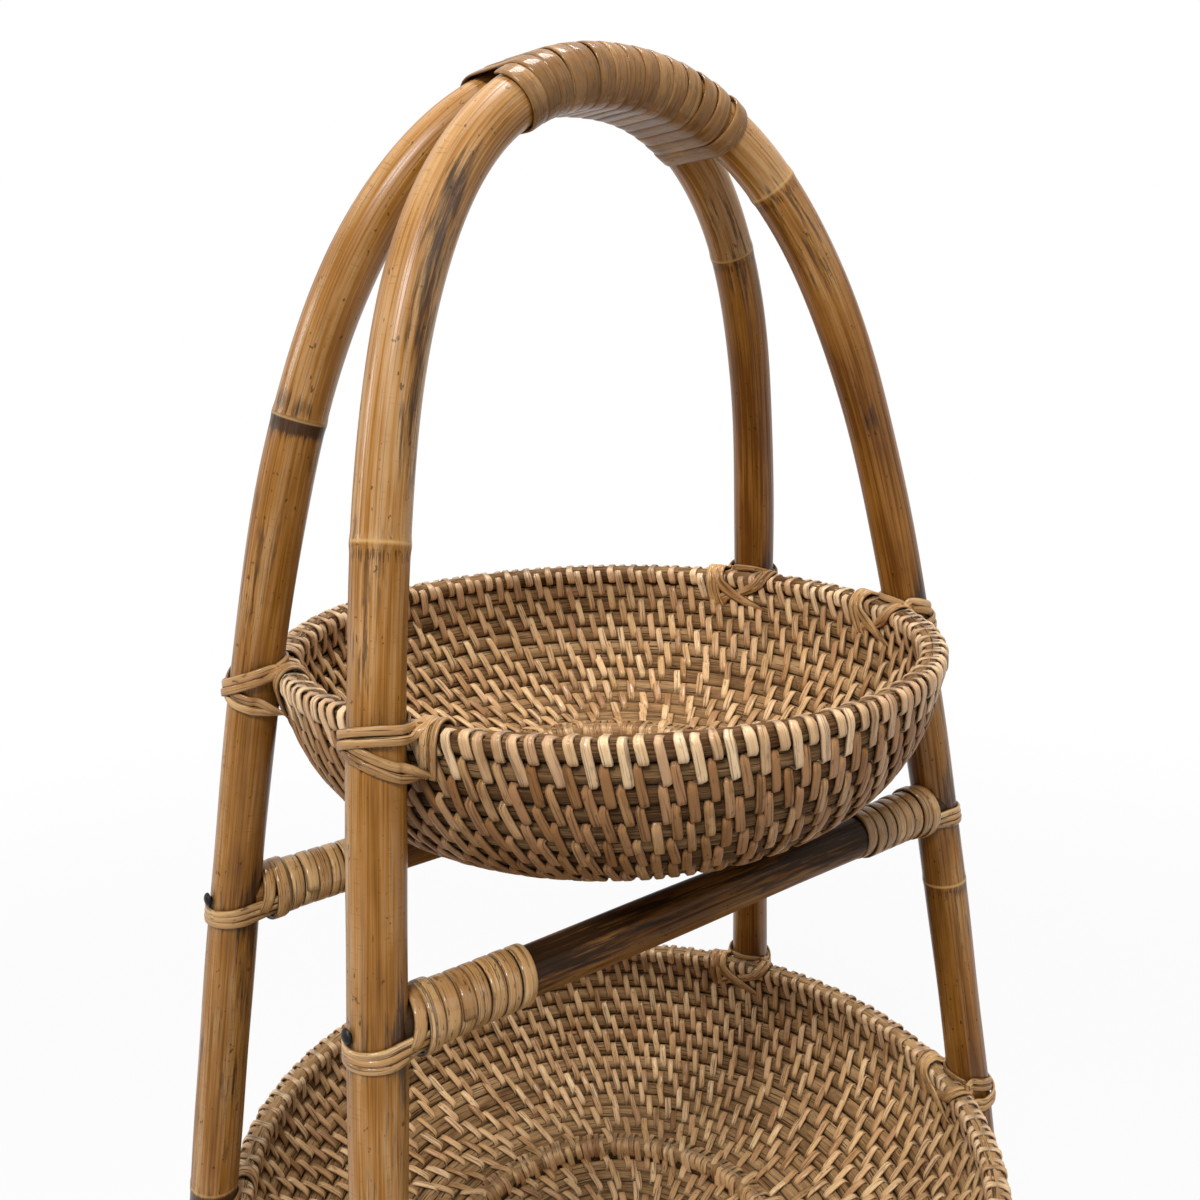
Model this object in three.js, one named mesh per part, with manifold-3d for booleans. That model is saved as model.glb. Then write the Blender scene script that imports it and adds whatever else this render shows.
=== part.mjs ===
// A three-tier rattan stand. Two bent canes meet side by side at the handle and lean apart into four legs.
// Crossbars tie the legs of each arch, and three coiled bowls are lashed between the legs.
import * as THREE from "three";
import { mergeVertices } from "three/addons/utils/BufferGeometryUtils.js";
import Module from "manifold-3d";

const wasm = await Module();
wasm.setup();
const { Vector3 } = THREE;

// Driving dimensions in millimetres. X runs along the arches, -Y is the front and the feet stand on Z = 0.
const clearance = 0.3; // left between pieces that touch on the real stand

const caneDiameter = 22;
const caneSides = 12;
const caneSteps = 38;
const bendCrowding = 1.8; // above 1, the steps lie closer round the bend
const handleRise = 240; // from the upper rim to the centre of the canes at the handle
const bendLength = 106; // run of cane over which the bend of the handle dies away
const bendShape = 1.25; // 1 gives a plain exponential bend, more gives a rounder crown
const legSplay = THREE.MathUtils.degToRad(6.5);
const spreadWidth = 38; // how far the bowls push each cane out of line
const spreadLength = 250;
const legLean = 0.08; // further drift from the other arch for each millimetre of drop
const knuckleRise = 0.8;
const knuckleLength = 9;
const knuckleSpacing = 350;
const frontKnuckleStart = 100; // run from the apex to one knuckle, towards +X
const rearKnuckleStart = 128;

const lowerRimHeight = 171;
const tierSpacing = 271;
const bowlDepth = 82;
const bowlSegments = 30;
const wallThickness = 7.5;
const ridgeSpacing = 22; // down the wall, where each ridge stands for a few rows of the coil
const ridgeDepth = 2; // from a ridge to the grooves beside it, on both faces of the wall
const rimRodDiameter = 10;
const rimSides = 8;
const rimBite = 3; // depth to which a leg presses into the rim
const upperBaseRadius = 76;
const baseWidening = 14; // from the base of one bowl to the base of the next one down
const hoopRise = 1; // of the base's hoop above the end of the wall
const baseStep = 7; // drop from the hoop to the floor of the bowl

const barDiameter = 21;
const barGap = 12.5; // between a bowl's underside and the bars under it
const barSides = 12;
const copeDepth = 5; // how far a bar's end reaches round the leg

const nailHeadDiameter = 6;
const nailHeadHeight = 2;
const nailShoulderDiameter = 4.8; // where the dome turns down to its edge
const nailShoulderHeight = 1.2;
const nailShankDiameter = 2;
const nailGrip = 14; // length of shank inside the bar
const nailSides = 6;

const handleWrapStart = -62; // run along the canes, from the apex
const handleWrapTurns = 18;
const handleWrapPitch = 7.6;
const handleWrapClearance = 0.8;
const wrapTurns = 7;
const wrapPitch = 7;
const stripGap = 0.8; // between neighbouring turns
const stripThickness = 1.4;
const strapWidth = 5;
const strapRun = 1.2; // of the strap along the bar, past the leg
const wrapLead = 8.8; // from there to the first turn on the bar
const wrapLeadAngle = THREE.MathUtils.degToRad(60);
const sharpTwist = THREE.MathUtils.degToRad(60);
const lashingWidth = 4;
const lashingThickness = 1.8;
const lashingReach = 4; // how far the crossed strands climb and fall on the leg
const lashingDraw = 0.65; // share of its spread to which the strand is drawn in behind the rim

// Sizes that follow from those above.
const caneRadius = caneDiameter / 2;
const barRadius = barDiameter / 2;
const rimRodRadius = rimRodDiameter / 2;
const tiers = ["lower", "middle", "upper"].map((name, i) => ({
  name,
  rimHeight: lowerRimHeight + i * tierSpacing,
  baseRadius: upperBaseRadius + (2 - i) * baseWidening,
}));
const apexHeight = tiers[2].rimHeight + handleRise;
const barDrop = bowlDepth - hoopRise + baseStep + barGap + barRadius; // from a rim to the axis of its bars
const arches = [
  { name: "front", side: -1, knuckleStart: frontKnuckleStart },
  { name: "rear", side: 1, knuckleStart: rearKnuckleStart },
];
const ends = [
  { name: "left", way: -1 },
  { name: "right", way: 1 },
];

// The bend of a cane, followed from the apex down to below the floor.
const traceStep = 1;
const footAllowance = caneDiameter;
const trace = [{ x: 0, drop: 0 }];
while (trace.at(-1).drop < apexHeight + footAllowance) {
  const run = (trace.length - 0.5) * traceStep;
  const slope = (Math.PI / 2 - legSplay) * (1 - Math.exp(-((run / bendLength) ** bendShape)));
  const { x, drop } = trace.at(-1);
  trace.push({ x: x + traceStep * Math.cos(slope), drop: drop + traceStep * Math.sin(slope) });
}
const caneHalfRun = (trace.length - 2) * traceStep;

// A point on the centre line of a cane, by the run from the apex: negative runs are on the left leg.
function canePoint(run, side) {
  const place = Math.abs(run) / traceStep;
  const i = Math.min(Math.floor(place), trace.length - 2);
  const share = place - i;
  const x = THREE.MathUtils.lerp(trace[i].x, trace[i + 1].x, share);
  const drop = THREE.MathUtils.lerp(trace[i].drop, trace[i + 1].drop, share);
  const spread = spreadWidth * (1 - Math.exp(-drop / spreadLength)) + legLean * drop;
  return new Vector3(Math.sign(run) * x, side * (caneRadius + clearance / 2 + spread), apexHeight - drop);
}

function caneTangent(run, side) {
  return canePoint(run + traceStep, side).sub(canePoint(run - traceStep, side)).normalize();
}

function runAtHeight(height) {
  return trace.findIndex(({ drop }) => apexHeight - drop <= height) * traceStep;
}

// The centre of a leg at a height, and the leg's horizontal drift for each millimetre of height.
function legAt(height, arch, end) {
  const run = end.way * runAtHeight(height);
  const tangent = caneTangent(run, arch.side);
  const drift = tangent.divideScalar(tangent.z);
  const centre = canePoint(run, arch.side);
  return { centre: centre.addScaledVector(drift, height - centre.z), drift };
}

// Solids: one closed skin over a row of rings, and boolean cuts and joins.
// A twisted face of the skin is split along the diagonal that bulges outward.
function loft(rings) {
  const size = rings[0].length;
  const points = rings.flat();
  const index = [];
  for (let ring = 0; ring + 1 < rings.length; ring++) {
    for (let k = 0; k < size; k++) {
      const a = ring * size + k;
      const b = ring * size + ((k + 1) % size);
      const [c, d] = [b + size, a + size];
      const face = new THREE.Plane().setFromCoplanarPoints(points[a], points[b], points[c]);
      if (face.distanceToPoint(points[d]) <= 0) index.push(a, b, c, a, c, d);
      else index.push(a, b, d, b, c, d);
    }
  }
  const last = (rings.length - 1) * size;
  for (let k = 1; k + 1 < size; k++) index.push(0, k + 1, k, last, last + k, last + k + 1);
  return new THREE.BufferGeometry().setFromPoints(points).setIndex(index);
}

function solidOf(geometry) {
  const bare = geometry.clone();
  bare.deleteAttribute("normal");
  bare.deleteAttribute("uv");
  const merged = mergeVertices(bare, 1e-4);
  const triVerts = new Uint32Array(merged.index.array);
  return new wasm.Manifold(
    new wasm.Mesh({ numProp: 3, vertProperties: merged.attributes.position.array, triVerts }),
  );
}

function geometryOf(solid) {
  const { vertProperties, triVerts } = solid.getMesh();
  return new THREE.BufferGeometry()
    .setAttribute("position", new THREE.BufferAttribute(vertProperties, 3))
    .setIndex(new THREE.BufferAttribute(triVerts, 1));
}

const cut = (geometry, tools) =>
  geometryOf(tools.reduce((solid, tool) => solid.subtract(solidOf(tool)), solidOf(geometry)));

function cylinderAlong(from, to, radius, sides) {
  const axis = new Vector3().subVectors(to, from);
  const turn = new THREE.Quaternion().setFromUnitVectors(new Vector3(0, 1, 0), axis.clone().normalize());
  return new THREE.CylinderGeometry(radius, radius, axis.length(), sides)
    .applyQuaternion(turn)
    .translate(...from.clone().add(to).multiplyScalar(0.5));
}

// A revolved profile of [radius, height] points, turned so that its axis is Z.
const revolve = (profile, segments) =>
  new THREE.LatheGeometry(profile.map(([r, z]) => new THREE.Vector2(r, z)), segments).rotateX(Math.PI / 2);

const stand = new THREE.Group();
function add(name, geometry, color, roughness, metalness = 0) {
  const mesh = new THREE.Mesh(geometry, new THREE.MeshStandardMaterial({ color, roughness, metalness }));
  mesh.name = name;
  stand.add(mesh);
}
const cane = [0x9a6a35, 0.35];
const darkCane = [0x5a3a1e, 0.4];
const peel = [0xcaa06a, 0.4];
const coil = [0xb08a5c, 0.65];
const nailMetal = [0x1c1a19, 0.5, 0.8];

// A strip laid along points, flat side down on what it binds: each point has the outward normal there.
// The section is a low ridge, as split cane has, and the strip's width lies across its travel.
function strip(path, width, thickness) {
  const rings = path.map(({ point, normal }, i) => {
    const ahead = path[Math.min(i + 1, path.length - 1)].point;
    const behind = path[Math.max(i - 1, 0)].point;
    const across = ahead.clone().sub(behind).cross(normal).normalize().multiplyScalar(width / 2);
    const ridge = point.clone().addScaledVector(normal, thickness);
    return [point.clone().sub(across), ridge, point.clone().add(across)];
  });
  return { geometry: loft(rings), rings };
}

// Adds a half-way stop wherever a strip twists sharply from one thing that it binds to the next.
function eased(path) {
  return path.flatMap((stop, i) => {
    const next = path[i + 1];
    if (!next || stop.normal.angleTo(next.normal) < sharpTwist) return [stop];
    const point = stop.point.clone().lerp(next.point, 0.5);
    return [stop, { point, normal: stop.normal.clone().add(next.normal).normalize() }];
  });
}

// The least distance between points of a strip that are more than a few steps apart along it.
function leastGap({ rings }, apart) {
  const samples = rings.map((ring, i) => {
    const next = rings[i + 1] ?? ring;
    return [...ring, ...ring.map((p, k) => p.clone().add(next[k]).multiplyScalar(0.5))];
  });
  let least = Infinity;
  samples.forEach((here, i) =>
    samples.slice(i + apart).forEach((there) =>
      here.forEach((p) => there.forEach((q) => (least = Math.min(least, p.distanceTo(q))))),
    ),
  );
  return least;
}

// Nails: a domed head outside the leg and a shank through it into the bar's end.
const nailSeat = caneRadius / Math.cos(legSplay) + clearance + (nailHeadDiameter / 2) * Math.tan(legSplay);
const nailLength = nailSeat + caneRadius + nailGrip;

function nail() {
  const head = nailHeadDiameter / 2;
  const shank = nailShankDiameter / 2;
  const profile = [
    [0, -nailLength],
    [shank, -nailLength + nailShankDiameter],
    [shank, 0],
    [head, 0],
    [nailShoulderDiameter / 2, nailShoulderHeight],
    [0, nailHeadHeight],
  ];
  return revolve(profile, nailSides);
}

function barsOf(arch) {
  return tiers.map((tier) => {
    const height = tier.rimHeight - barDrop;
    return { tier, legs: ends.map((end) => ({ end, ...legAt(height, arch, end) })) };
  });
}

function nailHole({ centre, end }) {
  const outward = new Vector3(end.way, 0, 0);
  const tip = centre.clone().addScaledVector(outward, nailSeat - nailLength - clearance);
  const mouth = centre.clone().addScaledVector(outward, caneDiameter);
  return cylinderAlong(tip, mouth, nailShankDiameter / 2 + clearance, nailSides);
}

// Canes: a round pole lofted along the bend, with a raised knuckle at each joint of the rattan.
// Knuckles that would lie under a binding are pared flat.
const bindingRuns = tiers.flatMap(({ rimHeight }) => [rimHeight, rimHeight - barDrop]).map(runAtHeight);
const paredReach = knuckleLength + caneDiameter;

function knucklesOf(arch) {
  const knuckles = [];
  const first = Math.ceil((-caneHalfRun - arch.knuckleStart) / knuckleSpacing);
  for (let i = first; arch.knuckleStart + i * knuckleSpacing < caneHalfRun; i++) {
    const run = arch.knuckleStart + i * knuckleSpacing;
    if (bindingRuns.every((bound) => Math.abs(Math.abs(run) - bound) > paredReach)) knuckles.push(run);
  }
  return knuckles;
}

function pole(arch, room) {
  const knuckles = knucklesOf(arch);
  const stations = [];
  for (let i = -caneSteps / 2; i <= caneSteps / 2; i++) {
    const share = (2 * i) / caneSteps;
    const run = Math.sign(share) * caneHalfRun * Math.abs(share) ** bendCrowding;
    if (knuckles.every((k) => Math.abs(k - run) > knuckleLength)) stations.push({ run, rise: 0 });
  }
  knuckles.forEach((run) => {
    stations.push({ run: run - knuckleLength / 2, rise: 0 });
    stations.push({ run, rise: knuckleRise });
    stations.push({ run: run + knuckleLength / 2, rise: 0 });
  });
  stations.sort((a, b) => a.run - b.run);
  const rings = stations.map(({ run, rise }) => {
    const radius = caneRadius + room + rise;
    const centre = canePoint(run, arch.side);
    const tangent = caneTangent(run, arch.side);
    const v = new Vector3(0, 1, 0).addScaledVector(tangent, -tangent.y).normalize();
    const u = v.clone().cross(tangent);
    return Array.from({ length: caneSides }, (_, k) => {
      const turn = (2 * Math.PI * k) / caneSides;
      const around = u.clone().multiplyScalar(radius * Math.cos(turn));
      return around.addScaledVector(v, radius * Math.sin(turn)).add(centre);
    });
  });
  return loft(rings);
}

function archCane(arch) {
  const footprint = 4 * trace.at(-1).x;
  const belowFloor = new THREE.BoxGeometry(footprint, footprint, 4 * footAllowance);
  belowFloor.translate(0, 0, -2 * footAllowance);
  const holes = barsOf(arch).flatMap(({ legs }) => legs.map(nailHole));
  return cut(pole(arch, 0), [belowFloor, ...holes]);
}

arches.forEach((arch) => add(`${arch.name}_arch_cane`, archCane(arch), ...cane));

// Crossbars: round rods coped to the legs, with a nail at each end.
function crossbar({ legs }, arch) {
  const inset = caneRadius + clearance - copeDepth;
  const [from, to] = legs.map(({ centre, end }) => centre.clone().setX(centre.x - end.way * inset));
  const tools = [pole(arch, clearance), ...legs.map(nailHole)];
  return cut(cylinderAlong(from, to, barRadius, barSides), tools);
}

// A crossbar's end wrap: a strap round the leg below the nail, then turns along the bar.
const turnSteps = 8;
const turnChord = Math.cos(Math.PI / turnSteps); // least radius of a turn's flats, as a share of its corners'
const strapDrop = nailHeadDiameter / 2 + strapWidth / 2 + 2 * clearance;

function endWrap({ centre, drift, end }) {
  const inward = new Vector3(-end.way, 0, 0);
  const aside = new Vector3(0, end.way, 0);
  const up = new Vector3(0, 0, 1);
  const onBar = (barRadius + clearance) / turnChord;
  const wrapWidth = wrapPitch - stripGap;
  const tilt = Math.hypot(drift.x, drift.y) * (wrapWidth / 2);
  const onLeg = (caneRadius + clearance + tilt) / turnChord;
  const path = [];
  const layOnBar = (x, turn) => {
    const normal = aside.clone().multiplyScalar(Math.cos(turn)).addScaledVector(up, Math.sin(turn));
    const point = centre.clone().addScaledVector(inward, x).addScaledVector(normal, onBar);
    path.push({ point, normal });
  };
  const tuck = Math.asin(strapDrop / onBar);
  const strapEnd = caneRadius + clearance + strapRun;
  layOnBar(strapEnd, -tuck);
  for (let i = 0; i <= turnSteps / 2; i++) {
    const turn = (2 * Math.PI * i) / turnSteps;
    const normal = aside.clone().multiplyScalar(Math.cos(turn)).addScaledVector(inward, -Math.sin(turn));
    const point = centre.clone().addScaledVector(drift, -strapDrop).addScaledVector(normal, onLeg);
    path.push({ point, normal });
  }
  layOnBar(strapEnd, Math.PI + tuck);
  layOnBar(strapEnd + wrapLead / 2, Math.PI + tuck - wrapLeadAngle / 2);
  for (let i = 0; i <= wrapTurns * turnSteps; i++) {
    const turn = Math.PI + tuck - wrapLeadAngle - (2 * Math.PI * i) / turnSteps;
    layOnBar(strapEnd + wrapLead + (wrapPitch * i) / turnSteps, turn);
  }
  return strip(path, wrapWidth, stripThickness);
}

arches.forEach((arch) =>
  barsOf(arch).forEach((bar) => {
    const barName = `${bar.tier.name}_${arch.name}`;
    add(`${barName}_crossbar`, crossbar(bar, arch), ...darkCane);
    bar.legs.forEach((leg) => {
      const { end, centre } = leg;
      const pin = nail().rotateY((end.way * Math.PI) / 2);
      pin.translate(centre.x + end.way * nailSeat, centre.y, centre.z);
      add(`${barName}_${end.name}_nail`, pin, ...nailMetal);
      const wrap = endWrap(leg);
      add(`${barName}_${end.name}_bar_wrap`, wrap.geometry, ...peel);
      console.log(`${barName}_${end.name}_bar_wrap gap`, leastGap(wrap, turnSteps / 2).toFixed(2));
    });
  }),
);

// Handle wrap: one strip wound round both canes, its edges square to them.
function handleWrap() {
  const halfSteps = turnSteps / 2;
  const loopSteps = turnSteps + 2;
  const radius = (caneRadius + handleWrapClearance) / turnChord;
  const halfWidth = (handleWrapPitch - stripGap) / 2;
  const corner = (run, step, height) => {
    const onRear = step > halfSteps;
    const turn = ((onRear ? step - 1 : step) * Math.PI) / halfSteps;
    const side = onRear ? 1 : -1;
    const centre = canePoint(run, side);
    const along = caneTangent(run, 1).add(caneTangent(run, -1)).normalize();
    const outward = new Vector3(0, 1, 0).cross(along).multiplyScalar(-1);
    const normal = outward.multiplyScalar(Math.cos(turn)).setY(-Math.sin(turn));
    return centre.addScaledVector(normal, radius + height);
  };
  const rings = [];
  for (let i = 0; i <= handleWrapTurns * loopSteps; i++) {
    const run = handleWrapStart + (handleWrapPitch * i) / loopSteps;
    const step = i % loopSteps;
    rings.push([
      corner(run + halfWidth, step, 0),
      corner(run, step, stripThickness),
      corner(run - halfWidth, step, 0),
    ]);
  }
  return { geometry: loft(rings), rings };
}

const handle = handleWrap();
add("handle_wrap", handle.geometry, ...peel);
console.log("handle_wrap gap", leastGap(handle, turnSteps / 2).toFixed(2));

// Bowls: a rim hoop, a ridged wall on a quarter ellipse, and a base whose raised hoop the wall ends against.
function bowl(tier) {
  const rodHeight = tier.rimHeight - rimRodRadius;
  const legs = arches.flatMap((arch) => ends.map((end) => ({ arch, end, ...legAt(rodHeight, arch, end) })));
  const rimRadius = Math.hypot(legs[0].centre.x, legs[0].centre.y) - caneRadius + rimBite;
  const rodRadius = rimRadius - rimRodRadius;
  const facetSag = rodRadius * (1 - Math.cos(Math.PI / bowlSegments));
  const strandRadius = (rimRodRadius + facetSag + clearance) / turnChord; // from the rod's centre line
  const wallEnd = tier.baseRadius + rimRodRadius;
  return { ...tier, rodHeight, legs, rimRadius, rodRadius, strandRadius, wallEnd };
}

const legTools = arches.map((arch) => pole(arch, clearance));

function rimHoop({ rodRadius, rodHeight }) {
  const profile = Array.from({ length: rimSides + 1 }, (_, k) => {
    const turn = (2 * Math.PI * (k % rimSides)) / rimSides;
    return [rodRadius + rimRodRadius * Math.cos(turn), rodHeight + rimRodRadius * Math.sin(turn)];
  });
  return cut(revolve(profile, bowlSegments), legTools);
}

function bowlWall(shape) {
  const { rimRadius, rimHeight, wallEnd } = shape;
  const across = rimRadius - clearance - wallEnd;
  const firstTurn = Math.asin((rimRodDiameter + clearance) / bowlDepth);
  const curve = new THREE.EllipseCurve(wallEnd, rimHeight, across, bowlDepth, -firstTurn, -Math.PI / 2, true);
  const steps = 2 * Math.round(curve.getLength() / ridgeSpacing);
  const outside = [];
  const inside = [];
  for (let i = 0; i <= steps; i++) {
    const point = curve.getPointAt(i / steps);
    const travel = curve.getTangentAt(i / steps);
    const inward = new THREE.Vector2(travel.y, -travel.x);
    const sunk = i % 2 ? 0 : ridgeDepth;
    outside.push(point.clone().addScaledVector(inward, sunk).toArray());
    inside.push(point.addScaledVector(inward, wallThickness - sunk).toArray());
  }
  const top = rimHeight - rimRodDiameter - clearance;
  outside[0][1] = top;
  inside[0][1] = top;
  const profile = [...inside, ...outside.reverse(), inside[0]];
  return cut(revolve(profile, bowlSegments), [...legTools, ...wallNotches(shape)]);
}

function bowlBase({ rimHeight, wallEnd }) {
  const outer = wallEnd - clearance;
  const inner = outer - rimRodDiameter;
  const hoopTop = rimHeight - bowlDepth + wallThickness + hoopRise;
  const floor = hoopTop - baseStep;
  const underside = floor - wallThickness;
  const round = rimRodRadius / 2;
  const profile = [
    [0, underside],
    [outer - round, underside],
    [outer, hoopTop - round],
    [outer - round, hoopTop],
    [inner + round, hoopTop],
    [inner, floor],
    [0, floor],
  ];
  return revolve(profile, bowlSegments);
}

// A lashing's strand passes the rim on each side of a leg, over it and through a notch in the wall below it.
const besideLeg = (caneRadius + clearance) / turnChord;

function wallNotches({ legs, rodRadius, rodHeight, strandRadius }) {
  const length = 2 * wallThickness + rimRodDiameter;
  const width = lashingWidth + lashingThickness + 4 * clearance;
  const depth = 2 * (strandRadius - rimRodRadius + lashingThickness + clearance);
  return legs.flatMap(({ centre }) =>
    [-1, 1].map((way) =>
      new THREE.BoxGeometry(length, width, depth)
        .translate(rodRadius, way * besideLeg, rodHeight - rimRodRadius)
        .rotateZ(Math.atan2(centre.y, centre.x)),
    ),
  );
}

// One strand: in under the rim, up round the leg, over the rim, across inside it, back over the rim,
// down round the leg over the first pass, and in under the rim on the other side.
function lashing({ rodRadius, strandRadius }, { centre, drift }) {
  const up = new Vector3(0, 0, 1);
  const outward = new Vector3(centre.x, centre.y, 0).normalize();
  const aside = up.clone().cross(outward);
  const tilt = Math.hypot(drift.x, drift.y) * (lashingWidth / 2);
  const hub = new Vector3(0, 0, centre.z);
  const onRod = (degrees, share) => {
    const turn = THREE.MathUtils.degToRad(degrees);
    const sideways = share * besideLeg;
    const normal = outward.clone().multiplyScalar(Math.cos(turn)).addScaledVector(up, Math.sin(turn));
    const point = hub.clone().addScaledVector(outward, Math.sqrt(rodRadius ** 2 - sideways ** 2));
    return { point: point.addScaledVector(aside, sideways).addScaledVector(normal, strandRadius), normal };
  };
  const roundLeg = (rise, lift) =>
    [-2, -1, 0, 1, 2].map((step) => {
      const turn = (2 * Math.PI * step) / turnSteps;
      const normal = outward.clone().multiplyScalar(Math.cos(turn)).addScaledVector(aside, Math.sin(turn));
      const point = centre.clone().addScaledVector(drift, (rise * step) / 2);
      return { point: point.addScaledVector(normal, besideLeg + tilt + lift), normal };
    });
  const path = [
    onRod(225, -1),
    onRod(270, -1),
    ...roundLeg(lashingReach, 0),
    onRod(90, 1),
    onRod(135, 1),
    ...[1, 0, -1].map((way) => onRod(180, way * lashingDraw)),
    onRod(135, -1),
    onRod(90, -1),
    ...roundLeg(-lashingReach, lashingThickness + 3 * clearance),
    onRod(270, 1),
    onRod(225, 1),
  ];
  return strip(eased(path), lashingWidth, lashingThickness);
}

tiers.map(bowl).forEach((shape) => {
  add(`${shape.name}_bowl_rim`, rimHoop(shape), ...peel);
  add(`${shape.name}_bowl_wall`, bowlWall(shape), ...coil);
  add(`${shape.name}_bowl_base`, bowlBase(shape), ...coil);
  shape.legs.forEach((leg) => {
    const name = `${shape.name}_${leg.arch.name}_${leg.end.name}_lashing`;
    const bound = lashing(shape, leg);
    add(name, bound.geometry, ...peel);
    console.log(`${name} gap`, leastGap(bound, turnSteps / 2).toFixed(2));
  });
});

export default stand;
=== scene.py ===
import math
import operator
from functools import reduce

import bpy
import numpy as np
from mathutils import Matrix, Vector


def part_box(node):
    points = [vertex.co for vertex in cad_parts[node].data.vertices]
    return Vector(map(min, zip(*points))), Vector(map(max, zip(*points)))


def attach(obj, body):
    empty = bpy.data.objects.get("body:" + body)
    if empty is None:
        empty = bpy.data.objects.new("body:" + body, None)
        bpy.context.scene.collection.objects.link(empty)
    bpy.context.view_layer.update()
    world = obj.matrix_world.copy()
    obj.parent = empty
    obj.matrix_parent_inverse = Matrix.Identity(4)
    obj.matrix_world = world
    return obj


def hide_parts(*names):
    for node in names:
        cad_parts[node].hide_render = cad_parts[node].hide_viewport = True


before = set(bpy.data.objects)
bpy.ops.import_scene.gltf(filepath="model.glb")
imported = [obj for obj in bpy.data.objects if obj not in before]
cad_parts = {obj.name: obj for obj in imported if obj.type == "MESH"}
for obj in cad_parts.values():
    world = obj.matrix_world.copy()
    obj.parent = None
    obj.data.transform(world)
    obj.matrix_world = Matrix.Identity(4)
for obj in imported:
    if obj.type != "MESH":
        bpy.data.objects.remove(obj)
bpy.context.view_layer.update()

tiers = ["upper", "middle", "lower"]
arches = {"front": -1, "rear": 1}
ends = {"left": -1, "right": 1}
corners = [(tier, arch, end) for tier in tiers for arch in arches for end in ends]
chance = np.random.default_rng(21)
grainRange = (1, 9)  # offsets that give each strip its own grain
phaseRange = (0, 6)  # starts of waves
fullTurn = 2 * math.pi
backward = np.array([0.0, 1.0, 0.0])
worldUp = np.array([0.0, 0.0, 1.0])
tiny = 1e-9


def placed(name, data):  # a new object in the scene
    made = bpy.data.objects.new(name, data)
    bpy.context.scene.collection.objects.link(made)
    return made


# Small helpers for rows of points

def unit(vectors):
    return vectors / np.maximum(np.linalg.norm(vectors, axis=-1, keepdims=True), tiny)


def bell(distance, reach):  # 1 at no distance, fading both ways
    return np.exp(-(distance / reach) ** 2)


def evenTurns(count):  # angles spread evenly over a full turn
    return np.linspace(0, fullTurn, count, endpoint=False)


def smoothPath(control, count, closed=False):  # a Catmull-Rom curve through a few points
    control = np.asarray(control, float)
    spans = len(control) if closed else len(control) - 1
    place = np.linspace(0, spans, count, endpoint=not closed)
    first = np.minimum(place.astype(int), spans - 1)
    t = (place - first)[:, None]
    nearest = [first + step for step in (-1, 0, 1, 2)]
    a, b, c, d = (control[i % len(control) if closed else np.clip(i, 0, spans)] for i in nearest)
    return 0.5 * (2 * b + (c - a) * t + (2 * a - 5 * b + 4 * c - d) * t**2 + (3 * b - a - 3 * c + d) * t**3)


def travelOf(points, closed):
    ahead, behind = np.roll(points, -1, axis=-2), np.roll(points, 1, axis=-2)
    if not closed:
        ahead[..., -1, :], behind[..., 0, :] = points[..., -1, :], points[..., 0, :]
    return unit(ahead - behind)


def lengthAlong(points):
    steps = np.linalg.norm(np.diff(points, axis=-2), axis=-1)
    return np.concatenate([np.zeros(steps.shape[:-1] + (1,)), np.cumsum(steps, axis=-1)], axis=-1)


def revolved(r, z, turn):  # points at a radius and a height, turned about the vertical
    return np.stack(np.broadcast_arrays(r * np.cos(turn), r * np.sin(turn), z), -1)


# A strip's section, as shares of its width and thickness, and the painted shade along its edges
stripSection = np.array([(-0.5, 0.0), (-0.48, 0.66), (-0.33, 1.0), (0.33, 1.0), (0.48, 0.66), (0.5, 0.0)])
edgeStain = np.array([0.8, 0.4, 0.0, 0.0, 0.4, 0.8])


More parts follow.
